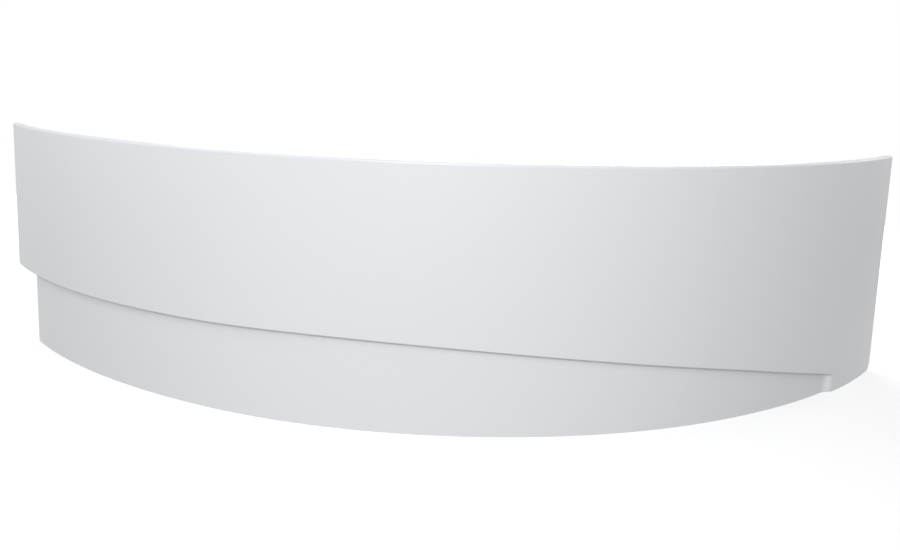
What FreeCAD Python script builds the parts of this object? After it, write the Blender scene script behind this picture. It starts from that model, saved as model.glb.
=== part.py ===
import FreeCAD, Part
import math
import os
import Sketcher

V = FreeCAD.Vector

# Driving sizes, in millimetres and degrees. Plan places are measured from the centre of the front arc.
SIZES = {
    "panel_height": 478.0,
    "wall": 4.0,
    "flange_depth": 13.0,
    "top_round": 5.0,
    # Plan of the outer face: three arcs that run into each other, from the left end to the right end.
    "end_angle": 32.825,
    "radius_left": 1400.0,
    "left_arc_angle": 31.3,
    "radius_front": 980.0,
    "front_arc_angle": 58.1,
    "radius_right": 1305.0,
    "right_arc_angle": 27.6,
    # Toe recess: how far it is set back, and the edge above it as seen from the front.
    "recess_depth": 12.0,
    "step_height": 158.4,
    "step_slope_angle": 0.83,
    "step_crest": -221.0,
    "step_radius": 4460.0,
    "step_fall_angle": 9.07,
    "step_fall_radius": 2540.0,
    "step_round": 3.0,
    "root_round": 4.0,
    # Lip at the left end, where the step edge dips.
    "lip_length": 104.0,
    "lip_slope_angle": 2.6,
    "lip_bend": 600.0,
    # Rounded return that closes the recess at its right end: in, out, and through the face.
    "recess_arc_angle": 15.85,
    "return_radius": 24.0,
    "return_slope_angle": 1.0,
    "return_round": 12.0,
    "return_exit_angle": 38.0,
    # Cut-out below the left end, and the rounded lower corners.
    "notch_angle": 5.4,
    "lip_depth": 7.0,
    "foot_corner": 20.0,
    "toe_corner": 7.0,
}
# Tools reach this far past what they cut.
OVERRUN = 60.0
EXTRA_ANGLE = 2.5

doc = FreeCAD.newDocument("bath_panel")
sheet = doc.addObject("Spreadsheet::Sheet", "sizes")
for row, (alias, number) in enumerate(SIZES.items(), start=1):
    sheet.set("A%d" % row, alias)
    sheet.set("B%d" % row, str(number))
    sheet.setAlias("B%d" % row, alias)
doc.recompute()

# Headings along the face, from the left end to the right end.
heading_left = SIZES["end_angle"] - 90.0
heading_front = heading_left + SIZES["left_arc_angle"]
heading_right = heading_front + SIZES["front_arc_angle"]
heading_end = heading_right + SIZES["right_arc_angle"]


def on_arc(centre, radius, heading):
    """The point of a circle where the face runs along this heading."""
    turn = math.radians(heading)
    return centre + V(radius * math.sin(turn), -radius * math.cos(turn), 0)


centre_front = V(0, 0, 0)
centre_left = on_arc(centre_front, SIZES["radius_front"] - SIZES["radius_left"], heading_front)
centre_right = on_arc(centre_front, SIZES["radius_front"] - SIZES["radius_right"], heading_right)
left_end = on_arc(centre_left, SIZES["radius_left"], heading_left)
right_end = on_arc(centre_right, SIZES["radius_right"], heading_end)


def origin_plane(body, role):
    return next(feature for feature in body.Origin.OriginFeatures if feature.Role == role)


def new_body(name):
    body = doc.addObject("PartDesign::Body", name)
    body.Label = name
    return body


def new_sketch(body, name, role, offset=None):
    """A sketch on one of the body's origin planes, set off along the plane's normal."""
    sketch = body.newObject("Sketcher::SketchObject", name)
    sketch.AttachmentSupport = [(origin_plane(body, role), "")]
    sketch.MapMode = "FlatFace"
    if offset is not None:
        sketch.setExpression("AttachmentOffset.Base.z", offset)
    return sketch


def fix(sketch, *constraint, by=None):
    """Add a constraint, with its value bound to an expression where one is given."""
    index = sketch.addConstraint(Sketcher.Constraint(*constraint))
    if by is not None:
        sketch.setExpression("Constraints[%d]" % index, by)
    return index


def arc(sketch, centre, radius, start_heading, end_heading):
    """An arc of the face between two headings, drawn from left to right."""
    circle = Part.Circle(centre, V(0, 0, 1), radius)
    start, end = math.radians(start_heading - 90.0), math.radians(end_heading - 90.0)
    return sketch.addGeometry(Part.ArcOfCircle(circle, start, end), False)


def line(sketch, start, end):
    return sketch.addGeometry(Part.LineSegment(start, end), False)


def face_arcs(sketch, inset, inset_by, extra, last_sweep):
    """The three arcs of the face, set in by the inset. The last one ends after the given sweep."""
    first = arc(sketch, centre_left, SIZES["radius_left"] - inset, heading_left - extra, heading_front)
    second = arc(sketch, centre_front, SIZES["radius_front"] - inset, heading_front, heading_right)
    last_heading = heading_right + last_sweep[0]
    third = arc(sketch, centre_right, SIZES["radius_right"] - inset, heading_right, last_heading)
    fix(sketch, "Coincident", second, 3, -1, 1)
    fix(sketch, "Tangent", first, 2, second, 1)
    fix(sketch, "Tangent", second, 2, third, 1)
    fix(sketch, "Radius", first, SIZES["radius_left"] - inset, by="sizes.radius_left - (%s)" % inset_by)
    fix(sketch, "Radius", second, SIZES["radius_front"] - inset, by="sizes.radius_front - (%s)" % inset_by)
    fix(sketch, "Radius", third, SIZES["radius_right"] - inset, by="sizes.radius_right - (%s)" % inset_by)
    fix(sketch, "Angle", first, math.radians(SIZES["left_arc_angle"] + extra),
        by="sizes.left_arc_angle + %g" % extra)
    fix(sketch, "Angle", second, math.radians(SIZES["front_arc_angle"]), by="sizes.front_arc_angle")
    fix(sketch, "Angle", third, math.radians(last_sweep[0]), by=last_sweep[1])
    return first, second, third


def left_closing(sketch, first, inset, extra):
    """A line square to the face at its left end, going in. Returns the line and its inner point."""
    start = on_arc(centre_left, SIZES["radius_left"] - inset, heading_left - extra)
    inner = on_arc(centre_left, SIZES["radius_left"] - inset - OVERRUN, heading_left - extra)
    edge = line(sketch, inner, start)
    fix(sketch, "Perpendicular", edge, 2, first, 1)
    fix(sketch, "Distance", edge, OVERRUN)
    fix(sketch, "Angle", edge, math.radians(SIZES["end_angle"] - extra + 180.0),
        by="sizes.end_angle + 180 - %g" % extra)
    return edge, inner


def plan_region(sketch, inset, inset_by, extra):
    """Everything behind the face, set in by the inset, back to a line across the ends."""
    last = (SIZES["right_arc_angle"] + extra, "sizes.right_arc_angle + %g" % extra)
    first, second, third = face_arcs(sketch, inset, inset_by, extra, last)
    left, left_inner = left_closing(sketch, first, inset, extra)
    end = on_arc(centre_right, SIZES["radius_right"] - inset, heading_end + extra)
    right_inner = on_arc(centre_right, SIZES["radius_right"] - inset - OVERRUN, heading_end + extra)
    right = line(sketch, end, right_inner)
    fix(sketch, "Perpendicular", third, 2, right, 1)
    fix(sketch, "Distance", right, OVERRUN)
    back = line(sketch, right_inner, left_inner)
    fix(sketch, "Coincident", right, 2, back, 1)
    fix(sketch, "Coincident", back, 2, left, 1)


def toe_region(sketch, inset, inset_by, grow, grow_by):
    """Everything behind the recessed face and its return, out past the right end."""
    last = (SIZES["recess_arc_angle"], "sizes.recess_arc_angle")
    first, second, third = face_arcs(sketch, inset, inset_by, EXTRA_ANGLE, last)
    left, left_inner = left_closing(sketch, first, inset, EXTRA_ANGLE)
    heading = heading_right + SIZES["recess_arc_angle"]
    slope, leave = SIZES["return_slope_angle"], SIZES["return_exit_angle"]
    bend, crest = SIZES["return_radius"] + grow, SIZES["return_round"] - grow
    bend_centre = on_arc(centre_right, SIZES["radius_right"] - inset + bend, heading)
    crest_centre = on_arc(bend_centre, -bend - crest, slope)
    circle = Part.Circle(bend_centre, V(0, 0, 1), bend)
    sweep = math.radians(slope + 90.0), math.radians(heading + 90.0)
    root = sketch.addGeometry(Part.ArcOfCircle(circle, *sweep), False)
    crown = arc(sketch, crest_centre, crest, slope, leave)
    exit_start = on_arc(crest_centre, crest, leave)
    turn = math.radians(leave)
    exit_end = exit_start + V(math.cos(turn), math.sin(turn), 0) * OVERRUN
    run = line(sketch, exit_start, exit_end)
    fix(sketch, "Tangent", third, 2, root, 2)
    fix(sketch, "Tangent", root, 1, crown, 1)
    fix(sketch, "Tangent", crown, 2, run, 1)
    fix(sketch, "Radius", root, bend, by="sizes.return_radius + (%s)" % grow_by)
    fix(sketch, "Radius", crown, crest, by="sizes.return_round - (%s)" % grow_by)
    fix(sketch, "Angle", crown, math.radians(leave - slope),
        by="sizes.return_exit_angle - sizes.return_slope_angle")
    fix(sketch, "Angle", run, turn, by="sizes.return_exit_angle")
    fix(sketch, "Distance", run, OVERRUN)
    far_front = V(right_end.x + 2 * OVERRUN, exit_end.y, 0)
    far_back = V(far_front.x, left_inner.y, 0)
    front = line(sketch, exit_end, far_front)
    side = line(sketch, far_front, far_back)
    back = line(sketch, far_back, left_inner)
    fix(sketch, "Coincident", run, 2, front, 1)
    fix(sketch, "Coincident", front, 2, side, 1)
    fix(sketch, "Coincident", side, 2, back, 1)
    fix(sketch, "Coincident", back, 2, left, 1)
    fix(sketch, "Horizontal", front)
    fix(sketch, "Vertical", side)
    fix(sketch, "Horizontal", back)
    fix(sketch, "DistanceX", -1, 1, side, 1, far_front.x)


def step_profile(sketch, grow, grow_by):
    """The area below the step edge as seen from the front: the lip, a straight rise and two wide arcs."""
    slope, dip = math.radians(SIZES["step_slope_angle"]), math.radians(SIZES["lip_slope_angle"])
    tighten = math.radians(SIZES["step_fall_angle"])
    radius, bend = SIZES["step_radius"] + grow, SIZES["lip_bend"] + grow
    fall_radius = SIZES["step_fall_radius"] + grow
    left_x, right_x = left_end.x - OVERRUN, right_end.x - OVERRUN
    start = V(left_end.x + SIZES["lip_length"], SIZES["step_height"] + grow, 0)
    meet_x = SIZES["step_crest"] - radius * math.sin(slope)
    meet = V(meet_x, start.y + (meet_x - start.x) * math.tan(slope), 0)
    centre = V(SIZES["step_crest"], meet.y - radius * math.cos(slope), 0)
    fall_centre = centre + V(math.sin(tighten), math.cos(tighten), 0) * (radius - fall_radius)
    right_angle = math.acos((right_x - fall_centre.x) / fall_radius)
    right_z = fall_centre.y + fall_radius * math.sin(right_angle)
    bend_centre = start + V(math.sin(slope), -math.cos(slope), 0) * bend
    lip_start = bend_centre + V(-math.sin(dip), math.cos(dip), 0) * bend
    left_z = lip_start.y - (lip_start.x - left_x) * math.tan(dip)
    low = -OVERRUN
    tighter = Part.Circle(fall_centre, V(0, 0, 1), fall_radius)
    fall = sketch.addGeometry(Part.ArcOfCircle(tighter, right_angle, math.pi / 2 - tighten), False)
    wide = Part.Circle(centre, V(0, 0, 1), radius)
    crown = sketch.addGeometry(Part.ArcOfCircle(wide, math.pi / 2 - tighten, math.pi / 2 + slope), False)
    rise = line(sketch, meet, start)
    small = Part.Circle(bend_centre, V(0, 0, 1), bend)
    bow = sketch.addGeometry(Part.ArcOfCircle(small, math.pi / 2 + slope, math.pi / 2 + dip), False)
    lip = line(sketch, lip_start, V(left_x, left_z, 0))
    left = line(sketch, V(left_x, left_z, 0), V(left_x, low, 0))
    bottom = line(sketch, V(left_x, low, 0), V(right_x, low, 0))
    right = line(sketch, V(right_x, low, 0), V(right_x, right_z, 0))
    fix(sketch, "Tangent", fall, 2, crown, 1)
    fix(sketch, "Tangent", crown, 2, rise, 1)
    fix(sketch, "Tangent", rise, 2, bow, 1)
    fix(sketch, "Tangent", bow, 2, lip, 1)
    fix(sketch, "Coincident", lip, 2, left, 1)
    fix(sketch, "Coincident", left, 2, bottom, 1)
    fix(sketch, "Coincident", bottom, 2, right, 1)
    fix(sketch, "Coincident", right, 2, fall, 1)
    fix(sketch, "Vertical", left)
    fix(sketch, "Horizontal", bottom)
    fix(sketch, "Vertical", right)
    fix(sketch, "Radius", fall, fall_radius, by="sizes.step_fall_radius + (%s)" % grow_by)
    fix(sketch, "Radius", crown, radius, by="sizes.step_radius + (%s)" % grow_by)
    fix(sketch, "Angle", crown, slope + tighten, by="sizes.step_slope_angle + sizes.step_fall_angle")
    fix(sketch, "Radius", bow, bend, by="sizes.lip_bend + (%s)" % grow_by)
    fix(sketch, "DistanceX", -1, 1, crown, 3, SIZES["step_crest"], by="sizes.step_crest")
    fix(sketch, "Angle", rise, math.pi + slope, by="180 + sizes.step_slope_angle")
    fix(sketch, "Angle", lip, math.pi + dip, by="180 + sizes.lip_slope_angle")
    fix(sketch, "DistanceX", -1, 1, rise, 2, start.x)
    fix(sketch, "DistanceY", -1, 1, rise, 2, start.y, by="sizes.step_height + (%s)" % grow_by)
    fix(sketch, "DistanceX", -1, 1, left, 1, left_x)
    fix(sketch, "DistanceX", -1, 1, right, 1, right_x)
    fix(sketch, "DistanceY", -1, 1, bottom, 1, low)


def pad(body, sketch, length_by):
    feature = body.newObject("PartDesign::Pad", sketch.Name + "_pad")
    feature.Profile = sketch
    feature.setExpression("Length", length_by)
    doc.recompute()
    return feature


def pocket(body, sketch, length_by):
    feature = body.newObject("PartDesign::Pocket", sketch.Name + "_pocket")
    feature.Profile = sketch
    feature.setExpression("Length", length_by)
    doc.recompute()
    return feature


def heading_at(centre, point):
    """Heading of the face at a point, as seen from the centre of its arc."""
    return math.degrees(math.atan2(point.x - centre.x, centre.y - point.y))


def inset_of(point):
    """How far behind the outer face a point lies."""
    if heading_at(centre_left, point) < heading_front:
        centre, radius = centre_left, SIZES["radius_left"]
    elif heading_at(centre_right, point) > heading_right:
        centre, radius = centre_right, SIZES["radius_right"]
    else:
        centre, radius = centre_front, SIZES["radius_front"]
    return radius - math.hypot(point.x - centre.x, point.y - centre.y)


def edges_where(feature, test):
    """Names of the edges whose middle point passes the test. Upright edges are left out."""
    names = []
    for number, edge in enumerate(feature.Shape.Edges, start=1):
        middle = (edge.FirstParameter + edge.LastParameter) / 2
        if abs(edge.tangentAt(middle).z) < 0.5 and test(edge.valueAt(middle)):
            names.append("Edge%d" % number)
    if not names:
        raise RuntimeError("no edge found on %s" % feature.Name)
    return names


def fillet(body, base, name, radius_by, test):
    feature = body.newObject("PartDesign::Fillet", name)
    feature.Base = (base, edges_where(base, test))
    feature.setExpression("Radius", radius_by)
    doc.recompute()
    return feature


def close(value, target):
    return abs(value - target) < 0.01


def cut(body, tool, name):
    feature = body.newObject("PartDesign::Boolean", name)
    feature.Type = "Cut"
    feature.setObjects([tool])
    doc.recompute()
    return feature


def recess_tool(name, inset, inset_by, grow, grow_by):
    """What the recess takes away: below the step edge and in front of the recessed face."""
    body = new_body(name)
    front = new_sketch(body, name + "_front", "XZ_Plane", "%g" % (-left_end.y - OVERRUN))
    step_profile(front, grow, grow_by)
    doc.recompute()
    pad(body, front, "sizes.radius_front")
    plan = new_sketch(body, name + "_plan", "XY_Plane", "sizes.panel_height")
    toe_region(plan, inset, inset_by, grow, grow_by)
    doc.recompute()
    block = pocket(body, plan, "sizes.panel_height + %g" % (2 * OVERRUN))
    fillet(body, block, name + "_root", "sizes.root_round + (%s)" % grow_by,
           lambda p: p.z > 0 and close(inset_of(p), inset))
    return body


def hollow_form():
    """The space inside the sheet: the outer form again, set in by the wall, open at the foot and back."""
    wall = SIZES["wall"]
    depth = SIZES["recess_depth"] + wall
    inner_recess = recess_tool("hollow_recess", depth, "sizes.recess_depth + sizes.wall", wall, "sizes.wall")
    body = new_body("hollow")
    plan = new_sketch(body, "hollow_plan", "XY_Plane", "%g" % -OVERRUN)
    plan_region(plan, wall, "sizes.wall", EXTRA_ANGLE)
    doc.recompute()
    block = pad(body, plan, "sizes.panel_height - sizes.wall + %g" % OVERRUN)
    top = SIZES["panel_height"] - wall
    fillet(body, block, "hollow_top_round", "sizes.top_round - sizes.wall",
           lambda p: close(p.z, top) and close(inset_of(p), wall))
    cut(body, inner_recess, "hollow_step")
    opening = new_sketch(body, "opening_plan", "XY_Plane", "sizes.panel_height - sizes.wall - 1")
    plan_region(opening, SIZES["flange_depth"], "sizes.flange_depth", EXTRA_ANGLE)
    doc.recompute()
    pad(body, opening, "sizes.wall + %g" % OVERRUN)
    return body


def notch_region(sketch):
    """Plan of the cut-out at the left end: behind the lip, as far as the start of the recessed wall."""
    radius = SIZES["radius_left"] - SIZES["lip_depth"]
    start, end = heading_left - EXTRA_ANGLE, heading_left + SIZES["notch_angle"]
    edge = arc(sketch, centre_left, radius, start, end)
    inner_start = on_arc(centre_left, radius - OVERRUN, start)
    inner_end = on_arc(centre_left, radius - OVERRUN, end)
    right = line(sketch, on_arc(centre_left, radius, end), inner_end)
    back = line(sketch, inner_end, inner_start)
    left = line(sketch, inner_start, on_arc(centre_left, radius, start))
    spoke = line(sketch, centre_front, centre_left)
    sketch.setConstruction(spoke, True)
    fix(sketch, "Coincident", spoke, 1, -1, 1)
    fix(sketch, "Coincident", spoke, 2, edge, 3)
    fix(sketch, "Distance", spoke, SIZES["radius_left"] - SIZES["radius_front"],
        by="sizes.radius_left - sizes.radius_front")
    fix(sketch, "Angle", spoke, math.radians(SIZES["end_angle"] + SIZES["left_arc_angle"]),
        by="sizes.end_angle + sizes.left_arc_angle")
    fix(sketch, "Radius", edge, radius, by="sizes.radius_left - sizes.lip_depth")
    fix(sketch, "Angle", edge, math.radians(end - start), by="sizes.notch_angle + %g" % EXTRA_ANGLE)
    fix(sketch, "Perpendicular", edge, 2, right, 1)
    fix(sketch, "Distance", right, OVERRUN)
    fix(sketch, "Coincident", right, 2, back, 1)
    fix(sketch, "Coincident", back, 2, left, 1)
    fix(sketch, "Perpendicular", left, 2, edge, 1)
    fix(sketch, "Distance", left, OVERRUN)
    fix(sketch, "Angle", left, math.radians(SIZES["end_angle"] - EXTRA_ANGLE + 180.0),
        by="sizes.end_angle + 180 - %g" % EXTRA_ANGLE)


def bath_panel():
    """The panel: one curved sheet with a flange along the top and a stepped toe recess."""
    outer_recess = recess_tool("toe_recess", SIZES["recess_depth"], "sizes.recess_depth", 0.0, "0")
    hollow = hollow_form()
    body = new_body("bath_panel")
    plan = new_sketch(body, "face_plan", "XY_Plane")
    plan_region(plan, 0.0, "0", 0.0)
    doc.recompute()
    block = pad(body, plan, "sizes.panel_height")
    fillet(body, block, "top_edge_round", "sizes.top_round",
           lambda p: close(p.z, SIZES["panel_height"]) and close(inset_of(p), 0))
    stepped = cut(body, outer_recess, "step")
    fillet(body, stepped, "step_edge_round", "sizes.step_round",
           lambda p: 0.1 < p.z < SIZES["panel_height"] / 2 and close(inset_of(p), 0))
    cut(body, hollow, "shell")
    notch = new_sketch(body, "notch_plan", "XY_Plane", "sizes.panel_height / 2")
    notch_region(notch)
    doc.recompute()
    trimmed = pocket(body, notch, "sizes.panel_height / 2 + %g" % OVERRUN)
    foot = fillet(body, trimmed, "foot_corner_round", "sizes.foot_corner",
                  lambda p: close(p.z, 0) and close(heading_at(centre_right, p), heading_end))
    toe_heading = heading_left + SIZES["notch_angle"]
    fillet(body, foot, "toe_corner_round", "sizes.toe_corner",
           lambda p: close(p.z, 0) and close(heading_at(centre_left, p), toe_heading))
    return body


panel = bath_panel()
doc.recompute()
for thing in doc.Objects:
    bad = [word for word in thing.State if word in ("Invalid", "Error")]
    if bad:
        raise RuntimeError("%s is %s" % (thing.Name, bad))
shape = panel.Shape
if shape.isNull() or not shape.isValid() or len(shape.Solids) != 1:
    raise RuntimeError("the panel is not one valid solid")
box = shape.optimalBoundingBox(False, False)
panel.Placement.Base = V(-box.Center.x, -box.Center.y, -box.ZMin)
doc.recompute()

os.makedirs("parts", exist_ok=True)
panel.Shape.exportStep("parts/bath_panel.step")
print("volume", panel.Shape.Volume, "box", panel.Shape.optimalBoundingBox(False, False))
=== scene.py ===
import math

import bpy
from mathutils import Matrix, Vector

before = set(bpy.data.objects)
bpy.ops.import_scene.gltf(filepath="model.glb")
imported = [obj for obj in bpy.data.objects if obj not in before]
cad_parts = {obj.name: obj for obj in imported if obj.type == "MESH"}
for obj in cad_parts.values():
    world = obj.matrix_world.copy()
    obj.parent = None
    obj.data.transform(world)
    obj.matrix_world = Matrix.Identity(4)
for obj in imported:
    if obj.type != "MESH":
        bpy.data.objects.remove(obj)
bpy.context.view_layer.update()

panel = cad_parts["bath_panel"]

# The photograph's width and the camera that took it, in pixels, metres and degrees.
IMAGE_WIDTH = 900
FOCAL_PIXELS = 1044.0
SENSOR_MM = 36.0
CAMERA_PLACE = Vector((0.1438, -2.0218, 0.6239))
CAMERA_YAW = 2.944
CAMERA_PITCH = 11.01
CAMERA_ROLL = 1.973

# The front of the white sheet: two close whites that drift into each other, and its gloss.
WHITE_COOL = (0.845, 0.863, 0.890, 1.0)
WHITE_WARM = (0.853, 0.866, 0.887, 1.0)
GLOSS_RANGE = (0.3, 0.36)
SPECULAR_LEVEL = 0.5
ACRYLIC_IOR = 1.49
# The back of the sheet is duller and a little yellower.
WHITE_BACK = (0.80, 0.80, 0.785, 1.0)
BACK_ROUGHNESS = 0.72
# The back faces the middle of the bath space, in plan. A face takes the back's finish
# as the cosine between it and that direction goes through this range.
BATH_MIDDLE = (0.02, 1.1, 0.0)
IN_PLAN = (1.0, 1.0, 0.0)
BACK_RANGE = (0.25, 0.45)

# Noise over the sheet: its scale per metre and its finer layers, and the range that is used.
DRIFT_NOISE = (1.6, 0.0)
GLOSS_NOISE = (2.5, 1.0)
FLOW_NOISE = (4.0, 0.0)
SKIN_NOISE = (420.0, 3.0)
NOISE_RANGE = (0.2, 0.8)
FULL_RANGE = (0.0, 1.0)
# Relief of the sheet: strength, and height in metres.
FLOW_STRENGTH, FLOW_HEIGHT = 0.08, 0.002
SKIN_FRONT, SKIN_BACK, SKIN_HEIGHT = 0.0, 0.5, 0.0004

# Points of the mesh closer than this, in metres, are one point.
WELD_DISTANCE = 1e-6
# Trimmed edges turn by more than this, rounded ones by less.
SHARP_ANGLE = math.radians(55)
# How far large faces lead small ones in the shading, where 50 is even.
NORMAL_WEIGHT = 80

FLOOR_RADIUS = 3.4
FLOOR_SIDES = 96
# The floor's tone for the light it throws back and where the camera sees it.
FLOOR_TONE = (0.3, 0.3, 0.3, 1.0)
FLOOR_SEEN = (0.8, 0.8, 0.8, 1.0)
# In reflections only the floor's glow shows, as plain white.
FLOOR_MIRRORED = (0.0, 0.0, 0.0, 1.0)
# The glow lifts the floor that the camera sees to white. It is weaker near the panel,
# where the soft shadow shows, and grows between these distances from the middle.
GLOW_RANGE = (0.4, 1.0)
GLOW_DISTANCES = (1.3, 2.6)

# Even light from all round, and the white background.
AMBIENT = 0.4
BACKGROUND = 1.0
PLAIN_WHITE = (1.0, 1.0, 1.0, 1.0)
# Soft lamps: place, what they face, width and height, watts.
FRONT_MIDDLE = (0.0, -0.2, 0.25)
LAMPS = {
    "key": ((-0.1, -2.4, 2.0), FRONT_MIDDLE, (1.4, 1.0), 12.0),
    "front": ((-0.1, -2.9, 1.3), FRONT_MIDDLE, (1.6, 1.0), 17.0),
    "far_front": ((-0.5, -7.0, 2.8), FRONT_MIDDLE, (3.0, 2.0), 135.0),
    "left": ((-1.35, -0.45, 1.35), (-0.9, 0.12, 0.35), (0.6, 0.5), 2.4),
    "right": ((2.6, 1.6, 1.4), (0.9, 0.2, 0.3), (1.4, 1.0), 6.0),
    "rear": ((0.0, 3.0, 1.0), (0.0, 0.0, 0.25), (3.0, 1.2), 50.0),
}


def new_material(name):
    """An empty material and its node tree."""
    material = bpy.data.materials.new(name)
    material.use_nodes = True
    material.node_tree.nodes.clear()
    return material, material.node_tree


def feed(tree, target, source):
    """Give a node's input a constant or another node's output."""
    if isinstance(source, bpy.types.NodeSocket):
        tree.links.new(source, target)
    else:
        target.default_value = source


def noise(tree, place, scale, detail):
    """Soft noise over a piece's own space."""
    texture = tree.nodes.new("ShaderNodeTexNoise")
    feed(tree, texture.inputs["Vector"], place)
    feed(tree, texture.inputs["Scale"], scale)
    feed(tree, texture.inputs["Detail"], detail)
    return texture.outputs["Fac"]


def spread(tree, value, from_range, to_range):
    """Map a value from one range onto another and hold it at the ends."""
    remap = tree.nodes.new("ShaderNodeMapRange")
    feed(tree, remap.inputs["Value"], value)
    feed(tree, remap.inputs["From Min"], from_range[0])
    feed(tree, remap.inputs["From Max"], from_range[1])
    feed(tree, remap.inputs["To Min"], to_range[0])
    feed(tree, remap.inputs["To Max"], to_range[1])
    return remap.outputs["Result"]


def mix(tree, kind, factor, first, second):
    """Blend from the first to the second: two colours (RGBA) or two numbers (FLOAT)."""
    blend = tree.nodes.new("ShaderNodeMix")
    blend.data_type = kind
    socket_type = "VALUE" if kind == "FLOAT" else kind
    feed(tree, blend.inputs["Factor"], factor)
    for name, source in (("A", first), ("B", second)):
        target = next(s for s in blend.inputs if s.name == name and s.type == socket_type)
        feed(tree, target, source)
    return next(s for s in blend.outputs if s.type == socket_type)


def maximum(tree, first, second):
    """The larger of two values."""
    largest = tree.nodes.new("ShaderNodeMath")
    largest.operation = "MAXIMUM"
    feed(tree, largest.inputs[0], first)
    feed(tree, largest.inputs[1], second)
    return largest.outputs["Value"]


def vector_step(tree, operation, *sources):
    """The outputs of one step of vector arithmetic."""
    step = tree.nodes.new("ShaderNodeVectorMath")
    step.operation = operation
    for target, source in zip(step.inputs, sources):
        feed(tree, target, source)
    return step.outputs


def bump(tree, height, strength, distance):
    """Relief that only the shading shows."""
    relief = tree.nodes.new("ShaderNodeBump")
    feed(tree, relief.inputs["Height"], height)
    feed(tree, relief.inputs["Strength"], strength)
    feed(tree, relief.inputs["Distance"], distance)
    return relief


def back_mask(tree, coords):
    """1 on the faces of the sheet that look at the bath space, 0 on the outer faces."""
    inward = vector_step(tree, "SUBTRACT", BATH_MIDDLE, coords.outputs["Object"])["Vector"]
    level = vector_step(tree, "MULTIPLY", inward, IN_PLAN)["Vector"]
    unit = vector_step(tree, "NORMALIZE", level)["Vector"]
    facing = vector_step(tree, "DOT_PRODUCT", unit, coords.outputs["Normal"])["Value"]
    return spread(tree, facing, BACK_RANGE, FULL_RANGE)


def acrylic():
    """White acrylic sheet: soft gloss with a faint drift of tone in front, duller behind."""
    material, tree = new_material("acrylic_white")
    coords = tree.nodes.new("ShaderNodeTexCoord")
    place = coords.outputs["Object"]
    back = back_mask(tree, coords)
    shader = tree.nodes.new("ShaderNodeBsdfPrincipled")
    shader.inputs["IOR"].default_value = ACRYLIC_IOR
    shader.inputs["Specular IOR Level"].default_value = SPECULAR_LEVEL

    drift = spread(tree, noise(tree, place, *DRIFT_NOISE), NOISE_RANGE, FULL_RANGE)
    front_tone = mix(tree, "RGBA", drift, WHITE_COOL, WHITE_WARM)
    tone = mix(tree, "RGBA", back, front_tone, WHITE_BACK)
    feed(tree, shader.inputs["Base Color"], tone)

    front_gloss = spread(tree, noise(tree, place, *GLOSS_NOISE), NOISE_RANGE, GLOSS_RANGE)
    roughness = mix(tree, "FLOAT", back, front_gloss, BACK_ROUGHNESS)
    feed(tree, shader.inputs["Roughness"], roughness)

    # Slow flow of the drawn sheet, then its fine skin: smooth in front, mat-like behind.
    flow = bump(tree, noise(tree, place, *FLOW_NOISE), FLOW_STRENGTH, FLOW_HEIGHT)
    skin_strength = mix(tree, "FLOAT", back, SKIN_FRONT, SKIN_BACK)
    skin = bump(tree, noise(tree, place, *SKIN_NOISE), skin_strength, SKIN_HEIGHT)
    feed(tree, skin.inputs["Normal"], flow.outputs["Normal"])
    feed(tree, shader.inputs["Normal"], skin.outputs["Normal"])

    out = tree.nodes.new("ShaderNodeOutputMaterial")
    feed(tree, out.inputs["Surface"], shader.outputs["BSDF"])
    return material


def background_rays(tree):
    """Two masks: 1 for rays from the camera, and 1 for rays in a reflection or through glass."""
    path = tree.nodes.new("ShaderNodeLightPath").outputs
    mirrored = maximum(tree, path["Is Glossy Ray"], path["Is Transmission Ray"])
    return path["Is Camera Ray"], mirrored


def floor_material():
    """A pale floor that shows white as a background, and darkens where the panel shades it."""
    material, tree = new_material("studio_floor")
    seen, mirrored = background_rays(tree)
    unseen_tone = mix(tree, "RGBA", mirrored, FLOOR_TONE, FLOOR_MIRRORED)
    diffuse = tree.nodes.new("ShaderNodeBsdfDiffuse")
    feed(tree, diffuse.inputs["Color"], mix(tree, "RGBA", seen, unseen_tone, FLOOR_SEEN))

    coords = tree.nodes.new("ShaderNodeTexCoord")
    distance = vector_step(tree, "LENGTH", coords.outputs["Object"])["Value"]
    lift = spread(tree, distance, GLOW_DISTANCES, GLOW_RANGE)
    glow = tree.nodes.new("ShaderNodeEmission")
    feed(tree, glow.inputs["Strength"], mix(tree, "FLOAT", seen, mirrored, lift))

    both = tree.nodes.new("ShaderNodeAddShader")
    feed(tree, both.inputs[0], diffuse.outputs["BSDF"])
    feed(tree, both.inputs[1], glow.outputs["Emission"])
    out = tree.nodes.new("ShaderNodeOutputMaterial")
    feed(tree, out.inputs["Surface"], both.outputs["Shader"])
    return material


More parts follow.
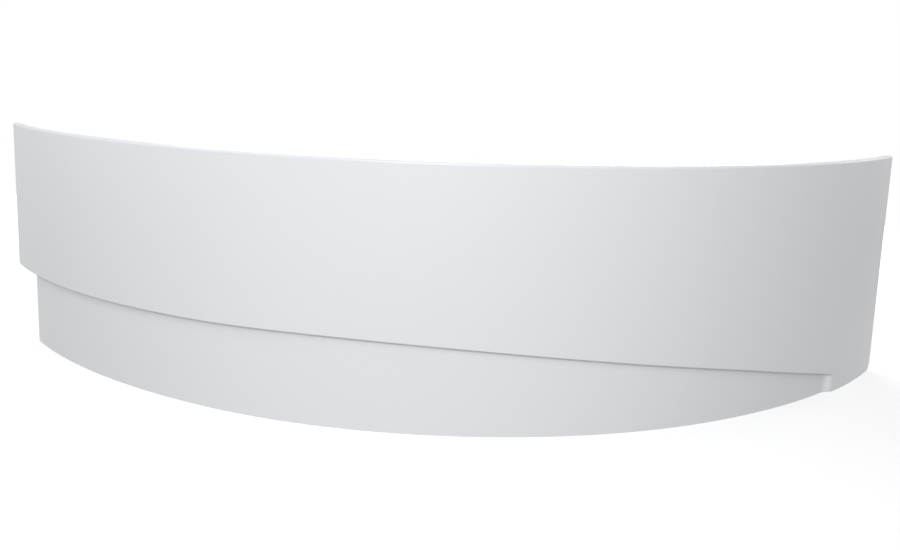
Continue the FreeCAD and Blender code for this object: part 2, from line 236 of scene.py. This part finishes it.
def smooth_shading(piece):
    """Even shading over the curved faces, with the trimmed edges kept sharp."""
    group = bpy.data.node_groups.new("even_shading", "GeometryNodeTree")
    for way in ("INPUT", "OUTPUT"):
        group.interface.new_socket("Geometry", in_out=way, socket_type="NodeSocketGeometry")
    start = group.nodes.new("NodeGroupInput")
    weld = group.nodes.new("GeometryNodeMergeByDistance")
    weld.inputs["Distance"].default_value = WELD_DISTANCE
    faces = group.nodes.new("GeometryNodeSetShadeSmooth")
    edges = group.nodes.new("GeometryNodeSetShadeSmooth")
    edges.domain = "EDGE"
    edges.inputs["Shade Smooth"].default_value = False
    end = group.nodes.new("NodeGroupOutput")
    steps = (start, weld, faces, edges, end)
    for before, after in zip(steps, steps[1:]):
        group.links.new(before.outputs["Geometry"], after.inputs["Geometry"])

    angle = group.nodes.new("GeometryNodeInputMeshEdgeAngle")
    sharp = group.nodes.new("FunctionNodeCompare")
    sharp.data_type = "FLOAT"
    sharp.operation = "GREATER_THAN"
    sharp.inputs["B"].default_value = SHARP_ANGLE
    group.links.new(angle.outputs["Unsigned Angle"], sharp.inputs["A"])
    group.links.new(sharp.outputs["Result"], edges.inputs["Selection"])

    modifier = piece.modifiers.new("even_shading", "NODES")
    modifier.node_group = group
    normals = piece.modifiers.new("weighted_normals", "WEIGHTED_NORMAL")
    normals.keep_sharp = True
    normals.weight = NORMAL_WEIGHT


def area_light(name, place, target, size, power):
    """A soft lamp that the camera does not see."""
    light = bpy.data.lights.new(name, "AREA")
    light.shape = "RECTANGLE"
    light.size, light.size_y = size
    light.energy = power
    lamp = bpy.data.objects.new(name, light)
    lamp.location = place
    lamp.rotation_euler = (Vector(target) - Vector(place)).to_track_quat("-Z", "Y").to_euler()
    lamp.visible_camera = False
    bpy.context.scene.collection.objects.link(lamp)


def floor():
    """A round floor under the panel."""
    mesh = bpy.data.meshes.new("floor")
    turns = [2 * math.pi * i / FLOOR_SIDES for i in range(FLOOR_SIDES)]
    rim = [(FLOOR_RADIUS * math.cos(t), FLOOR_RADIUS * math.sin(t), 0.0) for t in turns]
    mesh.from_pydata(rim, [], [tuple(range(FLOOR_SIDES))])
    piece = bpy.data.objects.new("floor", mesh)
    piece.data.materials.append(floor_material())
    bpy.context.scene.collection.objects.link(piece)


def white_world():
    """Soft even light from all round, and plain white wherever the background shows."""
    world = bpy.data.worlds.new("studio_world")
    bpy.context.scene.world = world
    world.use_nodes = True
    tree = world.node_tree
    tree.nodes.clear()
    choice = tree.nodes.new("ShaderNodeMixShader")
    feed(tree, choice.inputs["Fac"], maximum(tree, *background_rays(tree)))
    for slot, strength in ((1, AMBIENT), (2, BACKGROUND)):
        light = tree.nodes.new("ShaderNodeBackground")
        light.inputs["Color"].default_value = PLAIN_WHITE
        light.inputs["Strength"].default_value = strength
        feed(tree, choice.inputs[slot], light.outputs["Background"])
    out = tree.nodes.new("ShaderNodeOutputWorld")
    feed(tree, out.inputs["Surface"], choice.outputs["Shader"])


def camera():
    """The photograph's camera: a little above the top edge, looking down, and turned a little."""
    data = bpy.data.cameras.new("camera")
    data.sensor_fit = "HORIZONTAL"
    data.sensor_width = SENSOR_MM
    data.lens = FOCAL_PIXELS / IMAGE_WIDTH * SENSOR_MM
    yaw, pitch, roll = (math.radians(a) for a in (CAMERA_YAW, CAMERA_PITCH, CAMERA_ROLL))
    ahead = Vector((
        -math.sin(yaw) * math.cos(pitch),
        math.cos(yaw) * math.cos(pitch),
        -math.sin(pitch),
    ))
    level = Vector((math.cos(yaw), math.sin(yaw), 0.0))
    up = level.cross(ahead)
    right = level * math.cos(roll) + up * math.sin(roll)
    top = right.cross(ahead)
    turn = Matrix((right, top, -ahead)).transposed().to_4x4()
    viewer = bpy.data.objects.new("camera", data)
    viewer.matrix_world = Matrix.Translation(CAMERA_PLACE) @ turn
    bpy.context.scene.collection.objects.link(viewer)
    bpy.context.scene.camera = viewer


panel.data.materials.clear()
panel.data.materials.append(acrylic())
smooth_shading(panel)
floor()
white_world()
for lamp_name, lamp in LAMPS.items():
    area_light(lamp_name, *lamp)
camera()
bpy.context.scene.view_settings.view_transform = "Standard"

bpy.context.view_layer.update()
